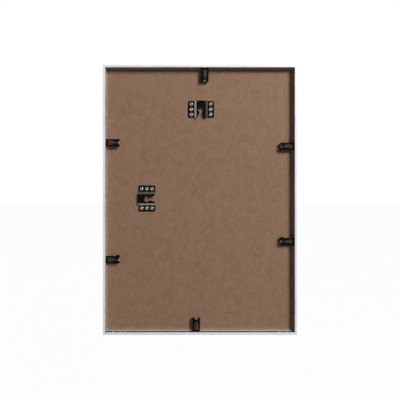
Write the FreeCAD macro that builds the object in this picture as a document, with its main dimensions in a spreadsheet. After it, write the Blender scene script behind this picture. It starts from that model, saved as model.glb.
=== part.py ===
import FreeCAD, Part

# Picture frame in mitred aluminium rails, loaded from the back and closed by sliding spring clips.
# All lengths are in millimetres and all angles in degrees. X points right as seen from the back, Y points
# to the front of the frame and Z up. The origin is the centre of the frame's outer box.
# A piece that sits on a rail is drawn as it lies on the bottom rail, with X along the rail, Y to the
# front and Z inward from the outer face. It is then turned about Y onto its own rail.

import math
import os
from types import SimpleNamespace

import Sketcher

SIZES = {
    # Frame and rail profile
    "frame_width": 512.0,
    "frame_height": 712.0,
    "rail_wall": 1.3,
    "rear_lip_thickness": 1.4,
    "rear_lip_width": 5.6,
    "return_thickness": 1.2,
    "upper_return_depth": 1.4,
    "slot_height": 5.6,
    "lower_return_depth": 1.2,
    "shelf_thickness": 1.2,
    "front_lip_thickness": 1.5,
    "front_lip_cover": 2.0,
    "recess_depth": 15.0,
    "rail_edge_radius": 0.4,
    "mitre_gap": 0.04,
    # Sheets that lie in the frame
    "sheet_clearance": 0.4,
    "glazing_thickness": 2.0,
    "insert_thickness": 0.4,
    "panel_thickness": 3.0,
    # Corner angles and their grub screws
    "angle_thickness": 1.8,
    "angle_leg": 54.0,
    "angle_bend_radius": 0.1,
    "angle_side_clearance": 0.4,
    "angle_seat_clearance": 0.05,
    "screw_radius": 2.0,
    "screw_hole_clearance": 0.03,
    "screw_first_place": 25.0,
    "screw_second_place": 44.0,
    "screw_proud": 0.4,
    "screw_slot_width": 0.7,
    "screw_slot_depth": 1.2,
    # Spring clips
    "clip_thickness": 0.8,
    "clip_width": 20.0,
    "clip_reach": 42.5,
    "clip_slide_clearance": 0.2,
    "clip_foot_clearance": 0.4,
    "clip_bend_radius": 0.6,
    "clip_step_from_lip": 1.4,
    "clip_step_radius": 1.5,
    "clip_step_run": 2.5,
    "clip_step_angle": 25.0,
    "clip_fold_radius": 1.5,
    "clip_fold_angle": 137.0,
    "clip_toe_radius": 2.4,
    "clip_toe_angle": 70.0,
    "clip_board_clearance": 0.2,
    "clip_notch_radius": 2.5,
    "clip_notch_inset": 1.4,
    "clip_corner_cut": 1.6,
    "tongue_root_width": 9.6,
    "tongue_tip_width": 2.4,
    "tongue_slit": 1.3,
    "tongue_from_step": 1.2,
    "tongue_from_fold": 8.3,
    "tongue_tilt": 5.0,
    # Places of the clips' middles, from the frame's top or bottom or, on the cross rails, its right side
    "left_upper_clip_from_top": 205.0,
    "left_lower_clip_from_bottom": 197.0,
    "right_upper_clip_from_top": 214.5,
    "right_lower_clip_from_bottom": 245.0,
    "top_clip_from_right": 243.0,
    "bottom_clip_from_right": 266.0,
    # Hangers
    "hanger_thickness": 1.2,
    "hanger_length": 45.0,
    "hanger_corner_radius": 4.0,
    "hanger_bend_radius": 0.8,
    "flange_width": 16.2,
    "slope_length": 7.04,
    "slope_angle": 45.0,
    "plate_width": 23.6,
    "bridge_length": 17.5,
    "seat_width": 16.0,
    "seat_depth": 10.0,
    "seat_corner_radius": 2.5,
    "lobe_radius": 2.4,
    "neck_width": 9.0,
    "neck_depth": 3.4,
    "mouth_width": 18.5,
    "relief_radius": 1.2,
    "portrait_hanger_from_top": 114.3,
    "portrait_hanger_off_middle": 3.0,
    "landscape_hanger_from_left": 113.5,
    "landscape_hanger_off_middle": 2.0,
    # Eyelets
    "eyelet_pitch": 14.0,
    "eyelet_from_edge": 9.0,
    "eyelet_flange_radius": 4.7,
    "eyelet_crown": 1.0,
    "eyelet_barrel_radius": 2.6,
    "eyelet_bore_radius": 1.9,
    "eyelet_roll_radius": 4.2,
    "eyelet_roll_thickness": 0.6,
    "eyelet_roll_clearance": 0.4,
    "eyelet_hole_clearance": 0.05,
    # How far a cut runs past the piece that it cuts
    "cut_overrun": 3.0,
}

# Turns about Y that carry a piece drawn on the bottom rail onto each rail
RAIL_TURNS = {"bottom": 0, "left": 90, "top": 180, "right": 270}
# Turns about Y that carry a piece drawn at the bottom left corner to each corner
CORNER_TURNS = {"bottom_left": 0, "top_left": 90, "top_right": 180, "bottom_right": 270}
# Sine and cosine of a quarter turn
QUARTERS = {0: (0, 1), 90: (1, 0), 180: (0, -1), 270: (-1, 0)}
# Steps of the three eyelets along a hanger's flange, in pitches
EYELET_STEPS = (-1, 0, 1)


class Size:
    """A number together with the expression that gives it from the sizes' sheet."""

    def __init__(self, value, text=None):
        self.value = float(value)
        self.text = text or repr(self.value)

    @staticmethod
    def of(number):
        return number if isinstance(number, Size) else Size(number)

    def _join(self, sign, other, value):
        return Size(value, f"({self.text} {sign} {other.text})")

    def __add__(self, other):
        other = Size.of(other)
        return self._join("+", other, self.value + other.value)

    def __sub__(self, other):
        other = Size.of(other)
        return self._join("-", other, self.value - other.value)

    def __mul__(self, other):
        other = Size.of(other)
        return self._join("*", other, self.value * other.value)

    def __truediv__(self, other):
        other = Size.of(other)
        return self._join("/", other, self.value / other.value)

    def __rmul__(self, other):
        return Size.of(other) * self

    def __neg__(self):
        return Size(-self.value, f"(-{self.text})")

    def sin(self):
        return Size(math.sin(math.radians(self.value)), f"sin({self.text})")

    def cos(self):
        return Size(math.cos(math.radians(self.value)), f"cos({self.text})")


ZERO = Size(0)
RIGHT_ANGLE = Size(90)
HALF_TURN = Size(180)

doc = FreeCAD.newDocument("picture_frame")
sheet = doc.addObject("Spreadsheet::Sheet", "Sizes")
for row, (alias, number) in enumerate(SIZES.items(), start=1):
    sheet.set(f"A{row}", alias)
    sheet.set(f"B{row}", str(number))
    sheet.setAlias(f"B{row}", alias)
doc.recompute()
s = SimpleNamespace(**{alias: Size(number, f"Sizes.{alias}") for alias, number in SIZES.items()})

# Places that several pieces share. Those through the frame are measured forward from its rear plane,
# and those across a rail inward from its outer face.
return_inner = s.rear_lip_width - s.return_thickness
slot_start = s.rear_lip_thickness + s.upper_return_depth
slot_end = slot_start + s.slot_height
channel_floor = slot_end + s.lower_return_depth
channel_middle = (s.rear_lip_thickness + channel_floor) / 2
chamber_start = channel_floor + s.shelf_thickness
insert_back = s.recess_depth + s.panel_thickness
glazing_back = insert_back + s.insert_thickness
front_lip_inner = glazing_back + s.glazing_thickness
frame_depth = front_lip_inner + s.front_lip_thickness
front_lip_width = s.rear_lip_width + s.front_lip_cover
half_width = s.frame_width / 2
half_height = s.frame_height / 2


def depth(forward):
    """Y of a place given by its distance forward of the rear plane."""
    return forward - frame_depth / 2


def bind(thing, values):
    """Binds properties of an object to the sheet through their expressions."""
    for name, size in values.items():
        thing.setExpression(name, size.text)


def place(thing, turn, x, y, z):
    """Turns an object about Y and moves it."""
    rotation = FreeCAD.Rotation(FreeCAD.Vector(0, 1, 0), turn)
    thing.Placement = FreeCAD.Placement(FreeCAD.Vector(), rotation)
    bind(thing, {"Placement.Base.x": x, "Placement.Base.y": y, "Placement.Base.z": z})


def body(label):
    """A new body whose label names the piece."""
    new = doc.addObject("PartDesign::Body", label)
    new.Label = label
    return new


def origin_feature(owner, role):
    """One of a body's own planes or axes."""
    return next(f for f in owner.Origin.OriginFeatures if f.Role == role)


def sketch(owner, name, plane, x=ZERO, y=ZERO, lift=ZERO, tilt=ZERO):
    """A sketch on one of its body's planes, moved in that plane, lifted off it and tilted about its X."""
    new = owner.newObject("Sketcher::SketchObject", f"{owner.Name}_{name}")
    new.AttachmentSupport = [(origin_feature(owner, f"{plane}_Plane"), "")]
    new.MapMode = "FlatFace"
    tilted = FreeCAD.Rotation(FreeCAD.Vector(1, 0, 0), tilt.value)
    new.AttachmentOffset = FreeCAD.Placement(FreeCAD.Vector(), tilted)
    bind(new, {"AttachmentOffset.Base.x": x, "AttachmentOffset.Base.y": y})
    bind(new, {"AttachmentOffset.Base.z": lift})
    if tilt is not ZERO:
        bind(new, {"AttachmentOffset.Rotation.Angle": tilt})
    return new


def constrain(drawing, kind, *references, size):
    """Adds a dimension to a sketch and binds it to the sheet."""
    index = drawing.addConstraint(Sketcher.Constraint(kind, *references, size.value))
    drawing.setExpression(f"Constraints[{index}]", size.text)


def pin(drawing, geometry, end, x, y):
    """Fixes one point of a sketch by its distances from the sketch's origin."""
    constrain(drawing, "DistanceX", -1, 1, geometry, end, size=x)
    constrain(drawing, "DistanceY", -1, 1, geometry, end, size=y)


def circle(drawing, x, y, radius):
    """Draws a circle."""
    centre = FreeCAD.Vector(x.value, y.value, 0)
    geometry = drawing.addGeometry(Part.Circle(centre, FreeCAD.Vector(0, 0, 1), radius.value))
    constrain(drawing, "Radius", geometry, size=radius)
    pin(drawing, geometry, 3, x, y)


def add_arc(drawing, start, end, radius, side):
    """Adds an arc under half a turn, and returns it with the numbers of its first and last point."""
    chord = end - start
    rise = math.sqrt(max(radius.value**2 - chord.Length**2 / 4, 0))
    across = FreeCAD.Vector(-chord.y, chord.x, 0).normalize()
    centre = (start + end) / 2 + across * (rise * side)
    ends = (start, end) if side > 0 else (end, start)
    angles = [math.atan2(point.y - centre.y, point.x - centre.x) for point in ends]
    round_edge = Part.Circle(centre, FreeCAD.Vector(0, 0, 1), radius.value)
    geometry = drawing.addGeometry(Part.ArcOfCircle(round_edge, *angles))
    constrain(drawing, "Radius", geometry, size=radius)
    return (geometry, 1, 2) if side > 0 else (geometry, 2, 1)


def outline(drawing, corners):
    """Draws a closed outline. A corner is x and y, or x, y, radius and side where an arc ends there.
    The side is 1 for an arc that turns left and -1 for one that turns right."""
    edges = []
    for index, corner in enumerate(corners):
        start = FreeCAD.Vector(corners[index - 1][0].value, corners[index - 1][1].value, 0)
        end = FreeCAD.Vector(corner[0].value, corner[1].value, 0)
        if len(corner) == 2:
            edges.append((drawing.addGeometry(Part.LineSegment(start, end)), 1, 2))
        else:
            edges.append(add_arc(drawing, start, end, corner[2], corner[3]))
    for index, (geometry, _, last) in enumerate(edges):
        after, first, _ = edges[(index + 1) % len(edges)]
        drawing.addConstraint(Sketcher.Constraint("Coincident", geometry, last, after, first))
        pin(drawing, geometry, last, corners[index][0], corners[index][1])


def rectangle(drawing, low_x, low_y, high_x, high_y):
    """Draws a rectangle between two corners."""
    outline(drawing, [(low_x, low_y), (high_x, low_y), (high_x, high_y), (low_x, high_y)])


def rounded(corners):
    """Rounds the corners of a square-cornered outline that give a radius as their third value."""
    result = []
    for index, corner in enumerate(corners):
        if len(corner) == 2:
            result.append(corner)
            continue
        x, y, radius = corner
        steps = []
        for other in (corners[index - 1], corners[(index + 1) % len(corners)]):
            gaps = (other[0].value - x.value, other[1].value - y.value)
            steps.append([(gap > 0) - (gap < 0) if abs(gap) == max(map(abs, gaps)) else 0 for gap in gaps])
        (back_x, back_y), (on_x, on_y) = steps
        side = 1 if back_y * on_x - back_x * on_y > 0 else -1
        result.append((x + back_x * radius, y + back_y * radius))
        result.append((x + on_x * radius, y + on_y * radius, radius, side))
    return result


def strip(thickness, x, y, heading, moves):
    """Outline of a bent strip of sheet that starts at a point of its middle line with a heading.
    A move is a run's length, or a bend's inner radius and angle, which is positive to the left."""
    half = thickness / 2
    left = []
    right = []

    def add_sides(*arcs):
        across_x = half * -heading.sin()
        across_y = half * heading.cos()
        left.append((x + across_x, y + across_y))
        right.append((x - across_x, y - across_y) + arcs)

    add_sides()
    for move in moves:
        if isinstance(move, Size):
            x = x + move * heading.cos()
            y = y + move * heading.sin()
            add_sides()
            continue
        radius, angle = move
        side = 1 if angle.value > 0 else -1
        middle = (radius + half) * side
        turned = heading + angle
        x = x + middle * (turned.sin() - heading.sin())
        y = y + middle * (heading.cos() - turned.cos())
        heading = turned
        outer = radius + thickness
        add_sides(outer if side > 0 else radius, side)
        left[-2] += (radius if side > 0 else outer, -side)
    return right + left[::-1]


def pad(owner, drawing, length, middle=True):
    """Pads a sketch, to both sides of it or along its normal."""
    new = owner.newObject("PartDesign::Pad", f"{drawing.Name}_pad")
    new.Profile = drawing
    new.Midplane = middle
    bind(new, {"Length": length})
    return new


def cut(owner, drawing, reach=None):
    """Cuts a sketch out to both sides of it, for a reach each way or all through."""
    new = owner.newObject("PartDesign::Pocket", f"{drawing.Name}_cut")
    new.Profile = drawing
    new.Midplane = True
    if reach is None:
        new.Type = "ThroughAll"
    else:
        bind(new, {"Length": reach * 2})
    return new


def turned_about_y(turn, x, z):
    """X and Z of a point after a quarter turn about Y."""
    sine, cosine = QUARTERS[turn]
    return x * cosine + z * sine, z * cosine - x * sine


def rail(label, length):
    """A rail: its profile padded along X, with both ends mitred."""
    new = body(label)
    inner = s.rear_lip_width
    edge = s.rail_edge_radius
    profile = sketch(new, "profile", "YZ")
    corners = [
        (ZERO, ZERO, edge),
        (frame_depth, ZERO, edge),
        (frame_depth, front_lip_width),
        (front_lip_inner, front_lip_width),
        (front_lip_inner, inner),
        (slot_end, inner),
        (slot_end, return_inner),
        (channel_floor, return_inner),
        (channel_floor, s.rail_wall),
        (s.rear_lip_thickness, s.rail_wall),
        (s.rear_lip_thickness, return_inner),
        (slot_start, return_inner),
        (slot_start, inner),
        (ZERO, inner, edge),
    ]
    outline(profile, rounded([(depth(forward), *rest) for forward, *rest in corners]))
    rectangle(profile, depth(chamber_start), s.rail_wall, depth(front_lip_inner), return_inner)
    pad(new, profile, length)
    mitres = sketch(new, "mitres", "XZ")
    over = s.cut_overrun
    tip = length / 2 - s.mitre_gap
    top = front_lip_width + over
    for side in (1, -1):
        outline(mitres, [(side * (tip + over), -over), (side * (tip + over), top), (side * (tip - top), top)])
    cut(new, mitres)
    return new


def place_on_rail(thing, rail_name, along=ZERO):
    """Puts a piece drawn on the bottom rail onto its own rail, at a place up from or right of the middle."""
    turn = RAIL_TURNS[rail_name]
    x, z = {
        "bottom": (along, -half_height),
        "top": (along, half_height),
        "left": (-half_width, along),
        "right": (half_width, along),
    }[rail_name]
    place(thing, turn, x, ZERO, z)


def place_at_corner(thing, corner_name):
    """Puts a piece drawn at the bottom left corner at its own corner."""
    x = -half_width if corner_name.endswith("left") else half_width
    z = -half_height if corner_name.startswith("bottom") else half_height
    place(thing, CORNER_TURNS[corner_name], x, ZERO, z)


def sheet_of(label, back, thickness):
    """A flat sheet that lies in the frame, given by how far forward of the rear plane its back lies."""
    inset = s.rear_lip_width + s.sheet_clearance
    new = doc.addObject("Part::Box", label)
    new.Label = label
    bind(new, {"Length": s.frame_width - inset * 2, "Width": thickness, "Height": s.frame_height - inset * 2})
    place(new, 0, inset - half_width, depth(back), inset - half_height)
    return new


# Corner angles and their screws
angle_middle = return_inner - s.angle_seat_clearance - s.angle_thickness / 2
screw_places = (s.screw_first_place, s.screw_second_place)


def corner_angle(label):
    """A bent strip with one leg in each of two rails' channels, and two threaded holes in each leg."""
    new = body(label)
    leg = s.angle_leg - angle_middle - s.angle_bend_radius - s.angle_thickness / 2
    bend = (s.angle_bend_radius, -RIGHT_ANGLE)
    shape = sketch(new, "shape", "XZ", lift=-depth(channel_middle))
    outline(shape, strip(s.angle_thickness, s.angle_leg, angle_middle, HALF_TURN, [leg, bend, leg]))
    pad(new, shape, channel_floor - s.rear_lip_thickness - s.angle_side_clearance * 2)
    hole = s.screw_radius + s.screw_hole_clearance
    for name, plane in (("floor_holes", "XY"), ("side_holes", "YZ")):
        holes = sketch(new, name, plane)
        for along in screw_places:
            across = depth(channel_middle)
            circle(holes, *((along, across) if plane == "XY" else (across, along)), hole)
        cut(new, holes)
    return new


def corner_screws(label):
    """Four slotted grub screws that press the rails' outer walls away from a corner angle."""
    new = body(label)
    head = return_inner + s.screw_proud
    across = depth(channel_middle)
    half_slot = s.screw_slot_width / 2
    for name, plane in (("floor", "XY"), ("side", "YZ")):
        shanks = sketch(new, f"{name}_shanks", plane, lift=s.rail_wall)
        slots = sketch(new, f"{name}_slots", plane, lift=head)
        for along in screw_places:
            circle(shanks, *((along, across) if plane == "XY" else (across, along)), s.screw_radius)
            low, high = (along - half_slot, along + half_slot)
            near, far = (across - s.screw_radius * 2, across + s.screw_radius * 2)
            rectangle(slots, *((low, near, high, far) if plane == "XY" else (near, low, far, high)))
        pad(new, shanks, head - s.rail_wall, middle=False)
        cut(new, slots, s.screw_slot_depth)
    return new


def spring_clip(label):
    """A strip of spring steel: a foot in the rail's channel, a step down to a blade over the back panel,
    a raised tongue, a fold with a half-round notch, and a leg whose toe bears on the panel."""
    new = body(label)
    half = s.clip_thickness / 2
    start = slot_start + s.clip_slide_clearance + half
    foot = return_inner - s.clip_slide_clearance - half
    bend = s.clip_bend_radius + half
    step = s.clip_step_radius + half
    fold = s.clip_fold_radius + half
    toe = s.clip_toe_radius + half
    down = s.clip_step_angle
    turn = s.clip_fold_angle
    blade = start + s.clip_step_run * down.sin() + step * 2 - step * 2 * down.cos()
    step_start = s.rear_lip_width + s.clip_step_from_lip
    step_end = step_start + s.clip_step_run * down.cos() + step * 2 * down.sin()
    foot_end = channel_floor - s.clip_foot_clearance
    toe_face = s.recess_depth - s.clip_board_clearance
    fall = toe_face - half - blade - fold + fold * turn.cos() - toe - toe * turn.cos()
    moves = [
        foot_end - start - bend,
        (s.clip_bend_radius, -RIGHT_ANGLE),
        step_start - foot - bend,
        (s.clip_step_radius, -down),
        s.clip_step_run,
        (s.clip_step_radius, down),
        s.clip_reach - half - fold - step_end,
        (s.clip_fold_radius, -turn),
        fall / turn.sin(),
        (s.clip_toe_radius, -s.clip_toe_angle),
    ]
    side_view = sketch(new, "side_view", "YZ")
    outline(side_view, strip(s.clip_thickness, depth(foot_end), foot, HALF_TURN, moves))
    pad(new, side_view, s.clip_width)
    root = step_end + s.tongue_from_step
    slit_end = s.clip_reach - half - fold - s.tongue_from_fold
    openings = sketch(new, "openings", "XZ")
    outline(openings, tongue_corners(s.tongue_slit, root, slit_end))
    circle(openings, ZERO, s.clip_reach - s.clip_notch_inset, s.clip_notch_radius)
    past = s.clip_reach + s.cut_overrun
    wide = s.clip_width / 2 + s.cut_overrun
    low = s.clip_reach - s.clip_corner_cut - s.cut_overrun
    narrow = s.clip_width / 2 - s.clip_corner_cut - s.cut_overrun
    for side in (1, -1):
        outline(openings, [(side * wide, low), (side * wide, past), (side * narrow, past)])
    cut(new, openings)
    tongue = sketch(new, "tongue", "XZ", y=root, lift=-depth(blade + half), tilt=s.tongue_tilt)
    outline(tongue, tongue_corners(ZERO, -s.clip_thickness, slit_end - s.tongue_slit - root))
    pad(new, tongue, s.clip_thickness, middle=False)
    return new


def tongue_corners(margin, root, tip):
    """Corners of a clip's tongue, or of the opening round it."""
    wide = s.tongue_root_width / 2 + margin
    narrow = s.tongue_tip_width / 2 + margin
    return [(-wide, root), (wide, root), (narrow, tip), (-narrow, tip)]


# Hangers, with X across the flanges, Y into the back panel from its back face and Z to the closed end
hanger_bend = s.hanger_bend_radius + s.hanger_thickness / 2
slope_across = s.slope_length * s.slope_angle.cos() + hanger_bend * 2 * s.slope_angle.sin()
hanger_half_span = s.flange_width + slope_across + s.plate_width / 2
hanger_half_length = s.hanger_length / 2
eyelet_across = hanger_half_span - s.eyelet_from_edge
eyelet_hole = s.eyelet_barrel_radius + s.eyelet_hole_clearance
eyelet_recess = s.eyelet_roll_thickness + s.eyelet_roll_clearance


def eyelet_places():
    """X and Z of a hanger's six eyelets."""
    return [(side * eyelet_across, step * s.eyelet_pitch) for side in (1, -1) for step in EYELET_STEPS]


def hanger(label):
    """A pressed plate raised between two riveted flanges, with a slot that hooks over a wall screw."""
    new = body(label)
    up = (s.hanger_bend_radius, -s.slope_angle)
    down = (s.hanger_bend_radius, s.slope_angle)
    slope = s.slope_length
    moves = [s.flange_width, up, slope, down, s.plate_width, down, slope, up, s.flange_width]
    end_view = sketch(new, "end_view", "XY")
    outline(end_view, strip(s.hanger_thickness, -hanger_half_span, -s.hanger_thickness / 2, ZERO, moves))
    pad(new, end_view, s.hanger_length)
    slot = sketch(new, "slot", "XZ")
    seat_top = hanger_half_length - s.bridge_length
    seat_end = seat_top - s.seat_depth
    neck = s.neck_width / 2
    neck_start = seat_end - s.lobe_radius
    neck_end = neck_start - s.neck_depth
    mouth = s.mouth_width / 2
    seat = s.seat_width / 2
    corner = s.seat_corner_radius
    right = [
        (mouth, -hanger_half_length - s.cut_overrun),
        (mouth, -hanger_half_length),
        (neck, neck_end),
        (neck, neck_start),
        (neck + s.lobe_radius, seat_end, s.lobe_radius, -1),
        (seat, seat_end),
        (seat, seat_top - corner),
        (seat - corner, seat_top, corner, 1),
    ]
    mirrored = [(-x, z) for x, z, *_ in reversed(right)]
    mirrored[1] += (corner, 1)
    mirrored[4] += (s.lobe_radius, -1)
    outline(slot, right + mirrored)
    cut(new, slot)
    holes = sketch(new, "holes", "XZ")
    for x, z in eyelet_places():
        circle(holes, x, z, eyelet_hole)
    for side in (1, -1):
        for end in (1, -1):
            bend_line = side * (hanger_half_span - s.flange_width)
            circle(holes, bend_line, end * hanger_half_length, s.relief_radius)
    cut(new, holes)
    corners = sketch(new, "corners", "XZ")
    for side in (1, -1):
        for end in (1, -1):
            outline(corners, corner_waste(side, end))
    cut(new, corners)
    return new


def corner_waste(side, end):
    """What is cut off a hanger's outer corner to round it."""
    x = side * hanger_half_span
    z = end * hanger_half_length
    radius = s.hanger_corner_radius
    over = s.cut_overrun
    return [
        (x - side * radius, z + end * over),
        (x + side * over, z + end * over),
        (x + side * over, z - end * radius),
        (x, z - end * radius),
        (x - side * radius, z, radius, side * end),
    ]


def eyelets(label):
    """The six hollow rivets of a hanger, each rolled over in a recess in the back panel's front face."""
    new = body(label)
    sheet_face = -s.hanger_thickness
    roll_face = s.panel_thickness - eyelet_recess
    bore = s.eyelet_bore_radius
    chord = s.eyelet_flange_radius - bore
    crown_radius = (chord * chord / 4 + s.eyelet_crown * s.eyelet_crown) / (s.eyelet_crown * 2)
    profile = [
        (bore, roll_face + s.eyelet_roll_thickness),
        (s.eyelet_roll_radius, roll_face + s.eyelet_roll_thickness),
        (s.eyelet_roll_radius, roll_face),
        (s.eyelet_barrel_radius, roll_face),
        (s.eyelet_barrel_radius, sheet_face),
        (s.eyelet_flange_radius, sheet_face),
        (bore, sheet_face, crown_radius, -1),
    ]
    for number, (x, z) in enumerate(eyelet_places(), start=1):
        half_section = sketch(new, f"section_{number}", "XY", x=x, lift=z)
        outline(half_section, profile)
        spun = new.newObject("PartDesign::Revolution", f"{label}_{number}")
        spun.Profile = half_section
        spun.ReferenceAxis = (half_section, ["V_Axis"])
        spun.Angle = 360
    return new


def back_panel(label):
    """The back panel, with a recessed hole for each eyelet."""
    new = body(label)
    inset = s.rear_lip_width + s.sheet_clearance
    x = half_width - inset
    z = half_height - inset
    front = -depth(insert_back)
    shape = sketch(new, "shape", "XZ", lift=front)
    rectangle(shape, -x, -z, x, z)
    pad(new, shape, s.panel_thickness, middle=False)
    holes = sketch(new, "holes", "XZ")
    recesses = sketch(new, "recesses", "XZ", lift=front)
    for _, turn, hanger_x, hanger_z in HANGERS:
        for eyelet_x, eyelet_z in eyelet_places():
            moved_x, moved_z = turned_about_y(turn, eyelet_x, eyelet_z)
            circle(holes, hanger_x + moved_x, hanger_z + moved_z, eyelet_hole)
            recess = s.eyelet_roll_radius + s.eyelet_roll_clearance
            circle(recesses, hanger_x + moved_x, hanger_z + moved_z, recess)
    cut(new, holes)
    cut(new, recesses, eyelet_recess)
    return new


# Each hanger's name, turn about Y and place. The landscape hanger's closed end points left.
HANGERS = (
    ("portrait_hanger", 0, s.portrait_hanger_off_middle, half_height - s.portrait_hanger_from_top),
    ("landscape_hanger", 270, s.landscape_hanger_from_left - half_width, s.landscape_hanger_off_middle),
)
# Each clip's name, rail and place along it
CLIPS = (
    ("left_upper_clip", "left", half_height - s.left_upper_clip_from_top),
    ("left_lower_clip", "left", s.left_lower_clip_from_bottom - half_height),
    ("right_upper_clip", "right", half_height - s.right_upper_clip_from_top),
    ("right_lower_clip", "right", s.right_lower_clip_from_bottom - half_height),
    ("top_clip", "top", half_width - s.top_clip_from_right),
    ("bottom_clip", "bottom", half_width - s.bottom_clip_from_right),
)

pieces = []
for name in RAIL_TURNS:
    piece = rail(f"{name}_rail", s.frame_width if name in ("top", "bottom") else s.frame_height)
    place_on_rail(piece, name)
    pieces.append(piece)
for name in CORNER_TURNS:
    for make, kind in ((corner_angle, "corner_angle"), (corner_screws, "corner_screws")):
        piece = make(f"{name}_{kind}")
        place_at_corner(piece, name)
        pieces.append(piece)
pieces.append(back_panel("back_panel"))
pieces.append(sheet_of("insert_sheet", insert_back, s.insert_thickness))
pieces.append(sheet_of("glazing_sheet", glazing_back, s.glazing_thickness))
for name, turn, across, up in HANGERS:
    for piece in (hanger(name), eyelets(f"{name}_eyelets")):
        place(piece, turn, across, depth(s.recess_depth), up)
        pieces.append(piece)
for name, rail_name, along in CLIPS:
    piece = spring_clip(name)
    place_on_rail(piece, rail_name, along)
    pieces.append(piece)
doc.recompute()

for thing in doc.Objects:
    if {"Invalid", "Error"} & set(thing.State):
        raise RuntimeError(f"{thing.Name} failed: {thing.State}")
    if thing.TypeId == "PartDesign::Pocket" and thing.Shape.Volume >= thing.BaseFeature.Shape.Volume:
        raise RuntimeError(f"{thing.Name} cuts nothing")
for piece in pieces:
    if piece.Shape.isNull() or not piece.Shape.isValid() or not piece.Shape.Solids:
        raise RuntimeError(f"{piece.Label} has no valid shape")
os.makedirs("parts", exist_ok=True)
for piece in pieces:
    piece.Shape.exportStep(os.path.join("parts", f"{piece.Label}.step"))
print(len(pieces), "pieces")
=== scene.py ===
import logging
from abc import ABC, abstractmethod
from dataclasses import dataclass
from enum import Enum
from math import radians

import bmesh
import bpy
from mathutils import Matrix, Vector


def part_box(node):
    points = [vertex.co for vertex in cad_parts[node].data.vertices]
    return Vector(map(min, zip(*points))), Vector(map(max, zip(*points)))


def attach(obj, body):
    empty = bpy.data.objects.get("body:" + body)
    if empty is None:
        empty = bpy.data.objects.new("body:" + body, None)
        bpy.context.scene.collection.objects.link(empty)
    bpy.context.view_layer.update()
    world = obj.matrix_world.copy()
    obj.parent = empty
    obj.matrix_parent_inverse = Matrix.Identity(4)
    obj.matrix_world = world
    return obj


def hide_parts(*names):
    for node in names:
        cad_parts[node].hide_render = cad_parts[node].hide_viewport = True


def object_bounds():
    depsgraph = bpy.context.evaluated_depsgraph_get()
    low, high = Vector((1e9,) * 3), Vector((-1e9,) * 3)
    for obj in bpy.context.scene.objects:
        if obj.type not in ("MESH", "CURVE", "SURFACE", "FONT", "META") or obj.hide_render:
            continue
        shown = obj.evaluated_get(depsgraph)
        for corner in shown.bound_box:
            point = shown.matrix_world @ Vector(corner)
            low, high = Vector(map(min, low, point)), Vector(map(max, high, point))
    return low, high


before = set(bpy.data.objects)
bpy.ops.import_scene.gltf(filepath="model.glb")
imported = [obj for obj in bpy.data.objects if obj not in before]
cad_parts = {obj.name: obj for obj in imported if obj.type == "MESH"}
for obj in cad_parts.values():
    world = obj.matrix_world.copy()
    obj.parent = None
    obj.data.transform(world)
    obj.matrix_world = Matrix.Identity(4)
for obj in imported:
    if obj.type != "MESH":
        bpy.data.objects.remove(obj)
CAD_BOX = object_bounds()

LOG = logging.getLogger("picture_frame")
MM = 0.001

Colour = tuple[float, float, float]
Triple = tuple[float, float, float]
Band = tuple[float, float]

WHITE: Colour = (1.0, 1.0, 1.0)


def srgb(red: int, green: int, blue: int) -> Colour:
    """Linear colour of a screen's colour, by the standard curve of such screens.

    Args:
        red: Red from 0 to 255.
        green: Green from 0 to 255.
        blue: Blue from 0 to 255.

    Returns:
        The colour in the linear values that shaders use.
    """
    shares = (value / 255 for value in (red, green, blue))
    return tuple(
        share / 12.92 if share <= 0.04045 else ((share + 0.055) / 1.055) ** 2.4
        for share in shares
    )


class Op(Enum):
    """Math operations that the shader expressions use."""

    ADD = "ADD"
    SUBTRACT = "SUBTRACT"
    MULTIPLY = "MULTIPLY"
    MINIMUM = "MINIMUM"
    MAXIMUM = "MAXIMUM"
    ABSOLUTE = "ABSOLUTE"
    LESS = "LESS_THAN"


class Axis(Enum):
    """An axis across or up the picture frame, by its number."""

    X = 0
    Z = 2


@dataclass(frozen=True)
class Grain:
    """Size and fineness of a noise pattern.

    scale counts its bumps per metre, detail its finer layers, and rough says how strong those
    are. stretch, where it is given, multiplies the scale along X, Y and Z.
    """

    scale: float
    detail: float = 3.0
    rough: float = 0.5
    stretch: Triple | None = None


@dataclass(frozen=True)
class Relief:
    """Small relief of a surface, by its depth in metres and how strongly it shows."""

    depth: float
    strength: float


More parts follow.
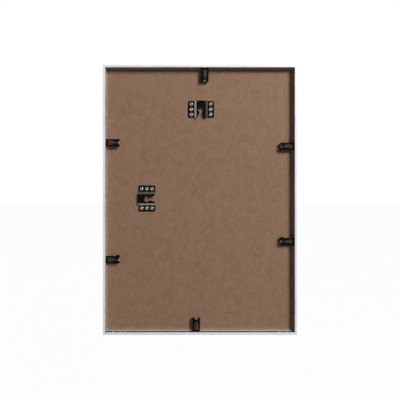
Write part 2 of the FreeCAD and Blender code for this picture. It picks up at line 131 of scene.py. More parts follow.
class Term:
    """A socket's output, whose Python operators add Math nodes."""

    def __init__(self, graph: "Graph", socket: bpy.types.NodeSocket) -> None:
        """Wraps a socket of a graph.

        Args:
            graph: The graph that the socket belongs to.
            socket: The output socket.
        """
        self.graph = graph
        self.socket = socket

    def _math(self, op: Op, first: "Term | float", second: "Term | float") -> "Term":
        """Adds a Math node.

        Args:
            op: The operation.
            first: Its first value.
            second: Its second value.

        Returns:
            The node's result.
        """
        return self.graph.node("ShaderNodeMath", {"operation": op.value}, {0: first, 1: second})

    def __add__(self, other: "Term | float") -> "Term":
        """Sum."""
        return self._math(Op.ADD, self, other)

    def __radd__(self, other: float) -> "Term":
        """Sum with a number on the left."""
        return self._math(Op.ADD, other, self)

    def __sub__(self, other: "Term | float") -> "Term":
        """Difference."""
        return self._math(Op.SUBTRACT, self, other)

    def __rsub__(self, other: float) -> "Term":
        """Difference from a number."""
        return self._math(Op.SUBTRACT, other, self)

    def __mul__(self, other: "Term | float") -> "Term":
        """Product."""
        return self._math(Op.MULTIPLY, self, other)

    def __rmul__(self, other: float) -> "Term":
        """Product with a number on the left."""
        return self._math(Op.MULTIPLY, other, self)

    def __lt__(self, other: "Term | float") -> "Term":
        """One where this is less than the other, and zero elsewhere."""
        return self._math(Op.LESS, self, other)

    def __gt__(self, other: "Term | float") -> "Term":
        """One where this is more than the other, and zero elsewhere."""
        return self._math(Op.LESS, other, self)

    def __abs__(self) -> "Term":
        """Size without its sign."""
        return self._math(Op.ABSOLUTE, self, 0.0)

    def at_most(self, other: "Term | float") -> "Term":
        """The lesser of this and another value."""
        return self._math(Op.MINIMUM, self, other)

    def at_least(self, other: "Term | float") -> "Term":
        """The greater of this and another value."""
        return self._math(Op.MAXIMUM, self, other)

    def within(self, low: float, high: float) -> "Term":
        """One between two values, and zero elsewhere."""
        return (self > low) * (self < high)

    def swing(self, amount: float) -> "Term":
        """Noise from 0 to 1 turned into a change of up to half an amount either way."""
        return amount * (self - 0.5)

    def parts(self) -> tuple["Term", ...]:
        """X, Y and Z of a vector."""
        made = self.graph.add("ShaderNodeSeparateXYZ", inputs={"Vector": self})
        return tuple(Term(self.graph, socket) for socket in made.outputs)


class Graph:
    """The nodes of one material or world."""

    def __init__(self, tree: bpy.types.NodeTree) -> None:
        """Starts from an empty tree.

        Args:
            tree: The node tree to fill.
        """
        self.tree = tree
        tree.nodes.clear()

    @staticmethod
    def set_stops(ramp: bpy.types.ColorRamp, stops: list[tuple[float, Colour]]) -> None:
        """Sets the stops of a colour ramp.

        Args:
            ramp: The ramp.
            stops: The places and colours, from low to high.
        """
        while len(ramp.elements) < len(stops):
            ramp.elements.new(0.5)
        for element, (place, colour) in zip(ramp.elements, stops):
            element.position = place
            element.color = (*colour, 1.0)

    def add(
        self,
        kind: str,
        settings: dict[str, object] | None = None,
        inputs: dict[str | int, object] | None = None,
    ) -> bpy.types.Node:
        """Adds a node, sets it and then fills its sockets.

        Args:
            kind: Blender's name of the node's type.
            settings: The node's own settings, with a ramp's (place, colour) pairs under "stops".
            inputs: Values or terms for its sockets, by name or number.

        Returns:
            The node.
        """
        made = self.tree.nodes.new(kind)
        for name, value in (settings or {}).items():
            if name == "stops":
                self.set_stops(made.color_ramp, value)
            else:
                setattr(made, name, value)
        for name, value in (inputs or {}).items():
            socket = made.inputs[name]
            if isinstance(value, Term):
                self.tree.links.new(value.socket, socket)
            elif isinstance(value, tuple) and socket.type == "RGBA":
                socket.default_value = (*value, 1.0)
            else:
                socket.default_value = value
        return made

    def node(
        self,
        kind: str,
        settings: dict[str, object] | None = None,
        inputs: dict[str | int, object] | None = None,
        output: str | int = 0,
    ) -> Term:
        """Adds a node and picks one of its outputs.

        Args:
            kind: Blender's name of the node's type.
            settings: The node's own settings.
            inputs: Values or terms for its sockets, by name or number.
            output: Name or number of the output.

        Returns:
            The chosen output.
        """
        return Term(self, self.add(kind, settings, inputs).outputs[output])

    def place(self) -> Term:
        """A point's place on its own object, in metres."""
        return self.node("ShaderNodeTexCoord", output="Object")

    def noise(self, place: Term, grain: Grain) -> Term:
        """Smooth noise from 0 to 1.

        Args:
            place: Where to read it.
            grain: Its size and fineness.

        Returns:
            The noise's value.
        """
        if grain.stretch is not None:
            factors = {0: place, 1: grain.stretch}
            place = self.node("ShaderNodeVectorMath", {"operation": "MULTIPLY"}, factors)
        inputs = {
            "Vector": place,
            "Scale": grain.scale,
            "Detail": grain.detail,
            "Roughness": grain.rough,
        }
        return self.node("ShaderNodeTexNoise", inputs=inputs)

    def distance(self, place: Term, spot: Triple) -> Term:
        """How far a place lies from a fixed spot.

        Args:
            place: The place.
            spot: The spot.

        Returns:
            The distance in metres.
        """
        ends = {0: place, 1: spot}
        return self.node("ShaderNodeVectorMath", {"operation": "DISTANCE"}, ends, "Value")

    def ramp(self, value: Term, stops: list[tuple[float, Colour]]) -> Term:
        """Colour picked along a ramp.

        Args:
            value: Where along the ramp, from 0 to 1.
            stops: The ramp's places and colours.

        Returns:
            The colour.
        """
        return self.node("ShaderNodeValToRGB", {"stops": stops}, {"Fac": value})

    def mask(self, value: Term, low: float, high: float) -> Term:
        """Zero below one value, one above another, and smooth between them.

        Args:
            value: The value to compare.
            low: Where the mask is still zero.
            high: Where the mask reaches one.

        Returns:
            The mask.
        """
        return self.node(
            "ShaderNodeMapRange",
            {"interpolation_type": "SMOOTHSTEP"},
            {"Value": value, "From Min": low, "From Max": high, "To Min": 0.0, "To Max": 1.0},
        )

    def mix(self, share: Term | float, first: Term | Colour, second: Term | Colour) -> Term:
        """Blend of two colours.

        Args:
            share: How much of the second colour shows.
            first: The colour at zero.
            second: The colour at one.

        Returns:
            The blended colour.
        """
        inputs = {0: share, 6: first, 7: second}
        return self.node("ShaderNodeMix", {"data_type": "RGBA"}, inputs, output=2)

    def bump(self, height: Term, relief: Relief) -> Term:
        """Normal of a surface with small relief.

        Args:
            height: The shape of the relief, from 0 to 1.
            relief: Its depth and strength.

        Returns:
            The bent normal.
        """
        inputs = {"Height": height, "Distance": relief.depth, "Strength": relief.strength}
        return self.node("ShaderNodeBump", inputs=inputs)

    def shown(self) -> Term:
        """Where a ray shows the background: to the camera, in gloss or through glass.

        Returns:
            One for such a ray and zero for the rest.
        """
        seen, glossy, through = (
            self.node("ShaderNodeLightPath", output=f"Is {ray} Ray")
            for ray in ("Camera", "Glossy", "Transmission")
        )
        return seen.at_least(glossy).at_least(through)

    def principled(self, inputs: dict[str, object]) -> Term:
        """The general surface shader, with the given sockets."""
        return self.node("ShaderNodeBsdfPrincipled", inputs=inputs)

    def surface(self, shader: Term) -> None:
        """Sends a shader to the output of the material or world."""
        owner = "World" if isinstance(self.tree.id_data, bpy.types.World) else "Material"
        self.add(f"ShaderNodeOutput{owner}", inputs={"Surface": shader})


@dataclass(frozen=True)
class Finish(ABC):
    """A surface finish that makes its own material."""

    name: str

    @abstractmethod
    def shade(self, graph: Graph) -> Term:
        """Adds the finish's nodes.

        Args:
            graph: The graph of its material.

        Returns:
            The shader.
        """

    def material(self) -> bpy.types.Material:
        """The finish's material, made once.

        Returns:
            The material.
        """
        found = bpy.data.materials.get(self.name)
        if found is None:
            found = bpy.data.materials.new(self.name)
            found.use_nodes = True
            graph = Graph(found.node_tree)
            graph.surface(self.shade(graph))
        return found


class Along(Enum):
    """The direction in which a rail was drawn, with the grain of the lines that this left."""

    ACROSS = Grain(1.0, 4.0, 0.6, stretch=(6.0, 1500.0, 1500.0))
    UP = Grain(1.0, 4.0, 0.6, stretch=(1500.0, 1500.0, 6.0))


@dataclass(frozen=True)
class SatinAluminium(Finish):
    """Clear anodised aluminium with drawing lines, a clip channel coloured dark grey as painted
    shade, and a bright wall foot.

    The bands called deep lie along Y, and those called inward count from the outer faces.
    """

    along: Along = Along.ACROSS
    colour: Colour = srgb(226, 226, 228)
    cloudy: Colour = srgb(216, 216, 219)
    # The channel's dark grey is painted shade for the hollow it lines.
    channel_shade: Colour = srgb(78, 75, 74)
    roughness: float = 0.56
    metallic: float = 0.13
    specular: float = 0.12
    cloud: Grain = Grain(18.0)
    cloud_band: Band = (0.3, 0.75)
    line_roughness: float = 0.1
    cloud_roughness: float = 0.06
    relief: Relief = Relief(0.01 * MM, 0.5)
    channel_deep: Band = (-9.7 * MM, -1.3 * MM)
    channel_inward: Band = (1.25 * MM, 4.45 * MM)
    slot_deep: Band = (-8.2 * MM, -2.5 * MM)
    foot_deep: Band = (0.0, 4.3 * MM)
    foot_inward: Band = (5.5 * MM, 5.7 * MM)
    foot_metallic: float = 0.85
    foot_roughness: float = 0.2

    def channel(self, deep: Term, inward: Term) -> Term:
        """Where a point lies in the channel that runs round the rails, or on its slot's edges.

        Args:
            deep: The point's place along Y.
            inward: How far it lies inward from the outer faces.

        Returns:
            One in the channel and zero elsewhere.
        """
        chamber = deep.within(*self.channel_deep) * inward.within(*self.channel_inward)
        edges = deep.within(*self.slot_deep) * (inward > self.channel_inward[0])
        return chamber.at_least(edges)

    def shade(self, graph: Graph) -> Term:
        """Adds the finish's nodes.

        Args:
            graph: The graph of its material.

        Returns:
            The shader.
        """
        place = graph.place()
        across, deep, up = place.parts()
        inward = (CAD_BOX[1][0] - abs(across)).at_most(CAD_BOX[1][2] - abs(up))
        inside = self.channel(deep, inward)
        foot = deep.within(*self.foot_deep) * inward.within(*self.foot_inward)
        lines = graph.noise(place, self.along.value)
        cloud = graph.noise(place, self.cloud)
        clean = graph.mix(graph.mask(cloud, *self.cloud_band), self.colour, self.cloudy)
        rough = self.roughness + lines.swing(self.line_roughness)
        rough = rough + cloud.swing(self.cloud_roughness)
        metal = self.metallic * (1.0 - inside) + (self.foot_metallic - self.metallic) * foot
        return graph.principled(
            {
                # Painted shade: the channel and its slot's edges take the dark grey and lose
                # their metal.
                "Base Color": graph.mix(inside, clean, self.channel_shade),
                "Metallic": metal,
                "Specular IOR Level": self.specular,
                "Roughness": rough - (self.roughness - self.foot_roughness) * foot,
                "Normal": graph.bump(lines, self.relief),
            }
        )


@dataclass(frozen=True)
class ZincPlate(Finish):
    """Zinc-plated steel with a blotchy grey sheen."""

    # The default dark grey is partly painted shade, for the corner angles that sit deep in the
    # channel.
    colour: Colour = srgb(96, 95, 93)
    blotch: Colour = srgb(76, 75, 74)
    roughness: float = 0.42
    metallic: float = 1.0
    spangle: Grain = Grain(260.0, 2.0)
    spangle_band: Band = (0.35, 0.65)
    spangle_roughness: float = 0.16
    pits: Grain = Grain(2400.0)
    relief: Relief = Relief(0.02 * MM, 0.4)

    def shade(self, graph: Graph) -> Term:
        """Adds the finish's nodes.

        Args:
            graph: The graph of its material.

        Returns:
            The shader.
        """
        place = graph.place()
        spangle = graph.noise(place, self.spangle)
        blotched = graph.mask(spangle, *self.spangle_band)
        return graph.principled(
            {
                "Base Color": graph.mix(blotched, self.colour, self.blotch),
                "Metallic": self.metallic,
                "Roughness": self.roughness + spangle.swing(self.spangle_roughness),
                "Normal": graph.bump(graph.noise(place, self.pits), self.relief),
            }
        )


@dataclass(frozen=True)
class Hardboard(Finish):
    """Brown pressed hardboard with fine fibres and soft stains."""

    light: Colour = srgb(150, 122, 100)
    middle: Colour = srgb(136, 108, 86)
    dark: Colour = srgb(115, 88, 66)
    red: Colour = srgb(143, 109, 91)
    light_at: float = 0.72
    middle_at: float = 0.5
    dark_at: float = 0.28
    fibre: Grain = Grain(620.0, 5.0, 0.62, stretch=(1.0, 1.0, 0.45))
    fleck: Grain = Grain(150.0, 3.0, 0.6)
    streak: Grain = Grain(75.0, 3.0, 0.5, stretch=(1.0, 1.0, 0.55))
    stain: Grain = Grain(30.0, 3.0, 0.55, stretch=(1.0, 1.0, 0.5))
    fibre_tone: float = 0.38
    fleck_tone: float = 0.36
    streak_tone: float = 0.26
    stain_band: Band = (0.42, 0.72)
    stain_share: float = 0.5
    roughness: float = 0.62
    fibre_roughness: float = 0.2
    specular: float = 0.1
    fibre_height: float = 0.7
    fleck_height: float = 0.3
    relief: Relief = Relief(0.06 * MM, 0.6)

    def shade(self, graph: Graph) -> Term:
        """Adds the finish's nodes.

        Args:
            graph: The graph of its material.

        Returns:
            The shader.
        """
        place = graph.place()
        fibre, fleck, streak, stain = (
            graph.noise(place, grain)
            for grain in (self.fibre, self.fleck, self.streak, self.stain)
        )
        mottle = self.fibre_tone * fibre + self.fleck_tone * fleck + self.streak_tone * streak
        base = graph.ramp(
            mottle,
            [
                (self.dark_at, self.dark),
                (self.middle_at, self.middle),
                (self.light_at, self.light),
            ],
        )
        stained = self.stain_share * graph.mask(stain, *self.stain_band)
        height = self.fibre_height * fibre + self.fleck_height * fleck
        return graph.principled(
            {
                "Base Color": graph.mix(stained, base, self.red),
                "Roughness": self.roughness + fibre.swing(self.fibre_roughness),
                "Specular IOR Level": self.specular,
                "Normal": graph.bump(height, self.relief),
            }
        )


@dataclass(frozen=True)
class Slopes:
    """The two slopes of a pressed hanger, as a band to each side of its middle.

    low_rub_and_reflection and high_rub_and_reflection say how pale the slope on the low and on
    the
    high side is painted: the high side's small share is rubbing, the low side's large share
    mostly a painted reflection.
    """

    axis: Axis
    middle: float
    low_rub_and_reflection: float
    high_rub_and_reflection: float
    start: float = 12.2 * MM
    end: float = 18.2 * MM
    soft: float = 0.7 * MM

    def share(self, place: Term) -> Term:
        """How pale a point is painted, by rubbing and a painted reflection, which it is only on
        the slopes.

        Args:
            place: The point's place.

        Returns:
            The rub of its slope, and zero elsewhere.
        """
        graph, (x, _, z) = place.graph, place.parts()
        offset = (x if self.axis is Axis.X else z) - self.middle
        away = abs(offset)
        rises = graph.mask(away, self.start, self.start + self.soft)
        falls = graph.mask(away, self.end - self.soft, self.end)
        rub_and_reflection = self.low_rub_and_reflection + (self.high_rub_and_reflection - self.low_rub_and_reflection) * (offset > 0.0)
        return rub_and_reflection * rises * (1.0 - falls)


class Side(Enum):
    """The side of the frame that holds a clip, with the axis along its blade and the way in."""

    LEFT = (Axis.X, 1.0)
    RIGHT = (Axis.X, -1.0)
    BOTTOM = (Axis.Z, 1.0)
    TOP = (Axis.Z, -1.0)

    @property
    def along(self) -> Axis:
        """The axis along the clip's blade."""
        return self.value[0]

    @property
    def inward(self) -> float:
        """The direction along that axis that leads into the frame, as 1 or -1."""
        return self.value[1]

    def outer_face(self) -> float:
        """Place of the frame's outer face on this side, along the blade's axis."""
        return CAD_BOX[0 if self.inward > 0 else 1][self.along.value]


@dataclass(frozen=True)
class Tongue:
    """The tongue cut in a clip's blade, a wedge that narrows from its root near the rail.

    root and tip are places along the blade, and middle is the wedge's place across it.
    """

    side: Side
    root: float
    tip: float
    middle: float
    root_half: float = 4.8 * MM
    tip_half: float = 1.2 * MM

    def share(self, place: Term) -> Term:
        """Whether a point lies on the tongue.

        Args:
            place: The point's place.

        Returns:
            One on the tongue and zero elsewhere.
        """
        x, _, z = place.parts()
        along, across = (x, z) if self.side.along is Axis.X else (z, x)
        reach = (along - self.root) * (1.0 / (self.tip - self.root))
        half = self.root_half + (self.tip_half - self.root_half) * reach
        return (abs(across - self.middle) < half) * reach.within(0.0, 1.0)


@dataclass(frozen=True)
class BlackSteel(Finish):
    """Semi-gloss black enamel on pressed steel.

    Where it has them, a spot of uncoated steel from wear round a notch is near white, also a
    painted glint; a tongue is painted grey as a sheen; and slopes are painted pale as a
    reflection over some real rubbing.
    """

    worn_glint_at: Triple | None = None
    tongue: Tongue | None = None
    slopes: Slopes | None = None
    colour: Colour = srgb(10, 6, 4)
    thin: Colour = srgb(17, 12, 8)
    # The next three are painted light: the tongue's sheen, the notch's glint over wear, and the
    # slopes' reflection over rubbing.
    rubbed_and_sheen: Colour = srgb(60, 54, 49)
    bare_glint: Colour = srgb(226, 221, 214)
    burnish_and_reflection: Colour = srgb(204, 196, 188)
    roughness: float = 0.32
    specular: float = 0.04
    grain: Grain = Grain(1400.0)
    patch: Grain = Grain(120.0)
    patch_band: Band = (0.4, 0.7)
    patch_roughness: float = 0.14
    relief: Relief = Relief(0.02 * MM, 0.35)
    worn_glint_radius: float = 3.2 * MM
    worn_glint_soft: float = 0.3 * MM
    worn_glint_ragged: float = 0.6 * MM
    worn_glint_metallic: float = 0.3
    worn_glint_roughness: float = 0.1
    burnish_and_reflection_metallic: float = 0.85
    burnish_and_reflection_roughness: float = 0.08

    def worn_glint(self, place: Term, grain: Term) -> Term:
        """How far a point lies in the spot of wear and painted glint, with a ragged edge to that
        spot.

        Args:
            place: The point's place.
            grain: The noise that makes the edge ragged.

        Returns:
            One where the steel is bare and zero where the enamel holds.
        """
        away = place.graph.distance(place, self.worn_glint_at) + grain.swing(self.worn_glint_ragged)
        return 1.0 - place.graph.mask(away, self.worn_glint_radius, self.worn_glint_radius + self.worn_glint_soft)

    def shade(self, graph: Graph) -> Term:
        """Adds the finish's nodes.

        Args:
            graph: The graph of its material.

        Returns:
            The shader.
        """
        place = graph.place()
        grain = graph.noise(place, self.grain)
        patch = graph.noise(place, self.patch)
        tone = graph.mix(graph.mask(patch, *self.patch_band), self.colour, self.thin)
        rough = self.roughness + patch.swing(self.patch_roughness)
        metal: Term | float = 0.0
        # Painted glint: near-white uncoated steel round the notch, where wear would also bare
        # it.
        if self.worn_glint_at is not None:
            worn_glint = self.worn_glint(place, grain)
            tone = graph.mix(worn_glint, tone, self.bare_glint)
            metal = self.worn_glint_metallic * worn_glint
            rough = rough + self.worn_glint_roughness * worn_glint
        # Painted sheen: the tongue is grey where light would catch its flanks.
        if self.tongue is not None:
            tone = graph.mix(self.tongue.share(place), tone, self.rubbed_and_sheen)
        # Painted reflection: one slope of each hanger is pale where it would mirror the light,
        # over some real rubbing of the bends.
        if self.slopes is not None:
            metal = self.burnish_and_reflection_metallic * self.slopes.share(place)
            tone = graph.mix(metal, tone, self.burnish_and_reflection)
            rough = rough + self.burnish_and_reflection_roughness * metal
        return graph.principled(
            {
                "Base Color": tone,
                "Metallic": metal,
                "Roughness": rough,
                "Specular IOR Level": self.specular,
                "Normal": graph.bump(grain, self.relief),
            }
        )


@dataclass(frozen=True)
class NickelPlate(Finish):
    """Warm nickel plate on the eyelets, dull where the rivet tool turned."""

    colour: Colour = srgb(168, 160, 153)
    rubbed_and_sheen: Colour = srgb(132, 124, 117)
    roughness: float = 0.3
    metallic: float = 1.0
    rub_and_reflection: Grain = Grain(700.0)
    rub_band: Band = (0.35, 0.7)
    rub_roughness: float = 0.2
    relief: Relief = Relief(0.02 * MM, 0.4)

    def shade(self, graph: Graph) -> Term:
        """Adds the finish's nodes.

        Args:
            graph: The graph of its material.

        Returns:
            The shader.
        """
        rub_and_reflection = graph.noise(graph.place(), self.rub_and_reflection)
        return graph.principled(
            {
                "Base Color": graph.mix(
                    graph.mask(rub_and_reflection, *self.rub_band), self.colour, self.rubbed_and_sheen
                ),
                "Metallic": self.metallic,
                "Roughness": self.roughness + rub_and_reflection.swing(self.rub_roughness),
                "Normal": graph.bump(rub_and_reflection, self.relief),
            }
        )


@dataclass(frozen=True)
class PrintPaper(Finish):
    """Plain insert paper with a thin printed line round its margin and a dark grey unprinted
    back, darkened as painted shade for the eyelet bores that show it.

    The printed face lies on the high side of back_until along Y.
    """

    colour: Colour = srgb(236, 233, 226)
    pulpy: Colour = srgb(228, 225, 217)
    line: Colour = srgb(168, 162, 152)
    # Partly painted shade: the unprinted back is made this dark so that the eyelet bores, which
    # show it, look shaded.
    back: Colour = srgb(84, 77, 69)
    back_until: float = 7.25 * MM
    half_width: float = 205.0 * MM
    half_height: float = 305.0 * MM
    line_width: float = 1.2 * MM
    roughness: float = 0.8
    specular: float = 0.2
    pulp: Grain = Grain(900.0, 4.0, 0.6)
    pulp_band: Band = (0.3, 0.7)
    pulp_roughness: float = 0.1
    relief: Relief = Relief(0.03 * MM, 0.3)

    def shade(self, graph: Graph) -> Term:
        """Adds the finish's nodes.

        Args:
            graph: The graph of its material.

        Returns:
            The shader.
        """
        place = graph.place()
        across, deep, up = place.parts()
        outside = (abs(across) - self.half_width).at_least(abs(up) - self.half_height)
        keyline = abs(outside) < self.line_width / 2
        pulp = graph.noise(place, self.pulp)
        tone = graph.mix(graph.mask(pulp, *self.pulp_band), self.colour, self.pulpy)
        front = graph.mix(keyline, tone, self.line)
        return graph.principled(
            {
                "Base Color": graph.mix(deep < self.back_until, front, self.back),
                "Roughness": self.roughness + pulp.swing(self.pulp_roughness),
                "Specular IOR Level": self.specular,
                "Normal": graph.bump(pulp, self.relief),
            }
        )


@dataclass(frozen=True)
class ClearGlass(Finish):
    """Clear float glass with a faint green body."""

    colour: Colour = srgb(251, 253, 252)
    roughness: float = 0.02
    refraction: float = 1.5

    def shade(self, graph: Graph) -> Term:
        """Adds the finish's nodes.

        Args:
            graph: The graph of its material.

        Returns:
            The shader.
        """
        return graph.principled(
            {
                "Base Color": self.colour,
                "Roughness": self.roughness,
                "Transmission Weight": 1.0,
                "IOR": self.refraction,
            }
        )


@dataclass(frozen=True)
class PaleFloor(Finish):
    """Floor that takes light and shadow as a grey and shows nearly white."""

    grey: Colour = (0.28, 0.28, 0.28)
    white_share: float = 0.975

    def shade(self, graph: Graph) -> Term:
        """Adds the finish's nodes.

        Args:
            graph: The graph of its material.

        Returns:
            The shader.
        """
        lit = graph.node("ShaderNodeBsdfDiffuse", inputs={"Color": self.grey})
        white = graph.node("ShaderNodeEmission", inputs={"Color": WHITE, "Strength": 1.0})
        share = graph.shown() * self.white_share
        return graph.node("ShaderNodeMixShader", inputs={0: share, 1: lit, 2: white})


def dress(node: str, finish: Finish) -> None:
    """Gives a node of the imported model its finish.

    Args:
        node: The node's name.
        finish: The finish for all its faces.
    """
    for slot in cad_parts[node].material_slots:
        slot.material = finish.material()
    LOG.info("%s has %s", node, finish.name)


def add_object(name: str, data: bpy.types.ID) -> bpy.types.Object:
    """Makes an object and puts it in the scene.

    Args:
        name: The object's name.
        data: Its mesh, lamp or camera.

    Returns:
        The object.
    """
    made = bpy.data.objects.new(name, data)
    bpy.context.scene.collection.objects.link(made)
    return made


def add_mesh(name: str, shape: bmesh.types.BMesh, finish: Finish) -> bpy.types.Object:
    """Makes an object from a shape, which is used up.

    Args:
        name: The name of the object and its mesh.
        shape: The shape.
        finish: The finish for all its faces.

    Returns:
        The object.
    """
    mesh = bpy.data.meshes.new(name)
    shape.to_mesh(mesh)
    shape.free()
    mesh.materials.append(finish.material())
    LOG.info("%s has %s", name, finish.name)
    return add_object(name, mesh)


@dataclass
class Rails:
    """Four mitred aluminium rails."""

    across: tuple[str, ...] = ("top_rail", "bottom_rail")
    upright: tuple[str, ...] = ("left_rail", "right_rail")

    def build(self) -> None:
        """Dresses the rails, each with its lines along its own length."""
        for node in self.across:
            dress(node, SatinAluminium("satin_aluminium_across", Along.ACROSS))
        for node in self.upright:
            dress(node, SatinAluminium("satin_aluminium_up", Along.UP))


@dataclass
class CornerHardware:
    """Corner angles inside the rails' channels, with their grub screws."""

    corners: tuple[str, ...] = ("top_left", "top_right", "bottom_left", "bottom_right")
    # Partly painted shade: the angles' dark grey stands in for the shade of the channel they sit
    # in.
    plate: ZincPlate = ZincPlate("zinc_plate")
    screws: ZincPlate = ZincPlate(
        "zinc_screws",
        colour=srgb(240, 238, 235),
        blotch=srgb(222, 220, 217),
        roughness=0.3,
        metallic=0.12,
    )

    def build(self) -> None:
        """Dresses the angles and screws."""
        for corner in self.corners:
            dress(f"{corner}_corner_angle", self.plate)
            dress(f"{corner}_corner_screws", self.screws)


@dataclass
class PictureStack:
    """Back panel, insert sheet and glazing."""

    glass_gap: float = 0.06 * MM
    glass_bevel: float = 0.3 * MM
    bevel_segments: int = 2

    def build(self) -> None:
        """Dresses the panel and the sheet, and builds the glazing."""
        dress("back_panel", Hardboard("hardboard"))
        dress("insert_sheet", PrintPaper("insert_paper"))
        self.build_glazing()

    def build_glazing(self) -> None:
        """Builds the glass with ground edges, a hair clear of what it touches."""
        low, high = (Vector(corner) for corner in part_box("glazing_sheet"))
        shrink = Vector((self.glass_gap,) * 3)
        low, high = low + shrink, high - shrink
        shape = bmesh.new()
        bmesh.ops.create_cube(shape, size=1.0)
        for vertex in shape.verts:
            for axis in range(3):
                vertex.co[axis] = high[axis] if vertex.co[axis] > 0 else low[axis]
        bmesh.ops.bevel(
            shape,
            geom=shape.edges[:],
            offset=self.glass_bevel,
            segments=self.bevel_segments,
            affect="EDGES",
        )
        glass = add_mesh("glazing", shape, ClearGlass("clear_glass"))
        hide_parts("glazing_sheet")
        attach(glass, "frame")


@dataclass(frozen=True)
class HangerPlate:
    """A hanger's node, the axis across its slopes, and how pale each of the two is painted, by
    rubbing and painted reflection.
    """

    name: str
    axis: Axis
    low_rub_and_reflection: float
    high_rub_and_reflection: float


@dataclass
class Hangers:
    """Two pressed hangers with their eyelets."""

    plates: tuple[HangerPlate, ...] = (
        # The low slopes carry a painted reflection; the high ones only light rubbing.
        HangerPlate("portrait_hanger", Axis.X, low_rub_and_reflection=0.9, high_rub_and_reflection=0.12),
        HangerPlate("landscape_hanger", Axis.Z, low_rub_and_reflection=1.0, high_rub_and_reflection=0.16),
    )

    def build(self) -> None:
        """Dresses the plates and eyelets."""
        for plate in self.plates:
            name, axis = plate.name, plate.axis
            low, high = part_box(name)
            middle = (low[axis.value] + high[axis.value]) / 2
            slopes = Slopes(axis, middle, plate.low_rub_and_reflection, plate.high_rub_and_reflection)
            dress(name, BlackSteel(f"black_{name}", slopes=slopes))
            dress(f"{name}_eyelets", NickelPlate("nickel_eyelets"))


@dataclass
class SpringClips:
    """Six spring clips, each with a tongue painted grey as a sheen and a near-white spot round
    the notch in its fold, which is wear and also a painted glint.

    notch_inset counts outward from the clip's inner end, notch_depth from its rear, and
    tongue_root and tongue_tip inward from the frame's outer face.
    """

    clips: tuple[tuple[str, Side], ...] = (
        ("left_upper_clip", Side.LEFT),
        ("left_lower_clip", Side.LEFT),
        ("right_upper_clip", Side.RIGHT),
        ("right_lower_clip", Side.RIGHT),
        ("top_clip", Side.TOP),
        ("bottom_clip", Side.BOTTOM),
    )
    notch_inset: float = 1.4 * MM
    notch_depth: float = 3.4 * MM
    tongue_root: float = 10.7 * MM
    tongue_tip: float = 34.2 * MM

    def build(self) -> None:
        """Dresses the clips."""
        for name, side in self.clips:
            low, high = (Vector(corner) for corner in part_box(name))
            notch = self.notch(side, low, high)
            tongue = self.tongue(side, low, high)
            # The notch spot is wear and a painted glint; the tongue's grey is a painted sheen.
            dress(name, BlackSteel(f"black_{name}", worn_glint_at=notch, tongue=tongue))

    def notch(self, side: Side, low: Vector, high: Vector) -> Triple:
        """Centre of a clip's notch.

        Args:
            side: The side of the frame that holds the clip.
            low: The clip's lowest corner.
            high: Its highest corner.

        Returns:
            The notch's centre, in metres.
        """
        along = side.along.value
        inner_end = (high if side.inward > 0 else low)[along]
        spot = (low + high) / 2
        spot.y = low.y + self.notch_depth
        spot[along] = inner_end - side.inward * self.notch_inset
        return tuple(spot)

    def tongue(self, side: Side, low: Vector, high: Vector) -> Tongue:
        """Place of a clip's tongue.

        Args:
            side: The side of the frame that holds the clip.
            low: The clip's lowest corner.
            high: Its highest corner.

        Returns:
            The tongue.
        """
        middle = (low + high) / 2
        return Tongue(
            side,
            root=side.outer_face() + side.inward * self.tongue_root,
            tip=side.outer_face() + side.inward * self.tongue_tip,
            middle=middle.z if side.along is Axis.X else middle.x,
        )


@dataclass(frozen=True)
class Lamp:
    """A round soft lamp, with its size in metres and its power in watts."""

    name: str
    place: Triple
    size: float
    power: float
    aim: Triple = (0.0, 0.0, 0.0)

    def build(self) -> None:
        """Hangs the lamp and points it at its aim."""
        data = bpy.data.lights.new(self.name, "AREA")
        data.shape = "DISK"
        data.size = self.size
        data.energy = self.power
        lamp = add_object(self.name, data)
        lamp.location = self.place
        facing = Vector(self.aim) - Vector(self.place)
        lamp.rotation_euler = facing.to_track_quat("-Z", "Y").to_euler()


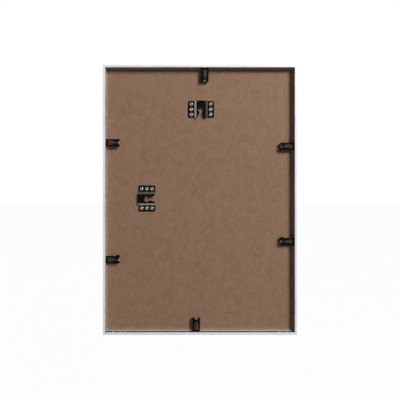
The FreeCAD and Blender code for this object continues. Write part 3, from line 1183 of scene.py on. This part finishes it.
@dataclass
class Studio:
    """Camera, lights, world and floor.

    The camera's view is view_width across at view_distance, where the frame's back lies.
    """

    camera_place: Triple = (-0.013, -0.728, 0.105)
    view_width: float = 1.055
    view_distance: float = 0.717
    sensor: float = 36.0
    nearest: float = 10.0 * MM
    lamps: tuple[Lamp, ...] = (
        Lamp("key", place=(2.6, -3.1, 2.55), size=2.1, power=286.0),
        Lamp("front_fill", place=(-2.2, 2.0, 1.9), size=0.9, power=72.0),
    )
    ambient: float = 0.03
    floor_height: float = -1.25
    floor_reach: float = 8.0

    def build(self) -> None:
        """Builds the studio."""
        self.build_camera()
        for lamp in self.lamps:
            lamp.build()
        self.build_world()
        self.build_floor()

    def build_camera(self) -> None:
        """Camera square to the frame, shifted so that the frame stands in the middle."""
        data = bpy.data.cameras.new("view")
        data.sensor_width = self.sensor
        data.lens = self.sensor * self.view_distance / self.view_width
        data.shift_x = -self.camera_place[0] / self.view_width
        data.shift_y = -self.camera_place[2] / self.view_width
        data.clip_start = self.nearest
        camera = add_object("view", data)
        camera.location = self.camera_place
        camera.rotation_euler = (radians(90), 0.0, 0.0)
        bpy.context.scene.camera = camera

    def build_world(self) -> None:
        """World that shows white and otherwise lights the object only faintly."""
        world = bpy.data.worlds.new("studio")
        bpy.context.scene.world = world
        world.use_nodes = True
        graph = Graph(world.node_tree)
        strength = self.ambient + (1.0 - self.ambient) * graph.shown()
        inputs = {"Color": WHITE, "Strength": strength}
        graph.surface(graph.node("ShaderNodeBackground", inputs=inputs))

    def build_floor(self) -> None:
        """Pale floor well below the hanging frame."""
        shape = bmesh.new()
        bmesh.ops.create_grid(shape, x_segments=1, y_segments=1, size=self.floor_reach)
        floor = add_mesh("floor", shape, PaleFloor("pale_floor"))
        floor.location = (0.0, 0.0, self.floor_height)


def main() -> None:
    """Builds every sub-assembly and the studio."""
    logging.basicConfig(level=logging.INFO, format="%(name)s: %(message)s")
    for part in (Rails(), CornerHardware(), PictureStack(), Hangers(), SpringClips(), Studio()):
        part.build()
        LOG.info("%s done", type(part).__name__)
    bpy.context.scene.view_settings.view_transform = "Standard"


if __name__ == "__main__":
    main()
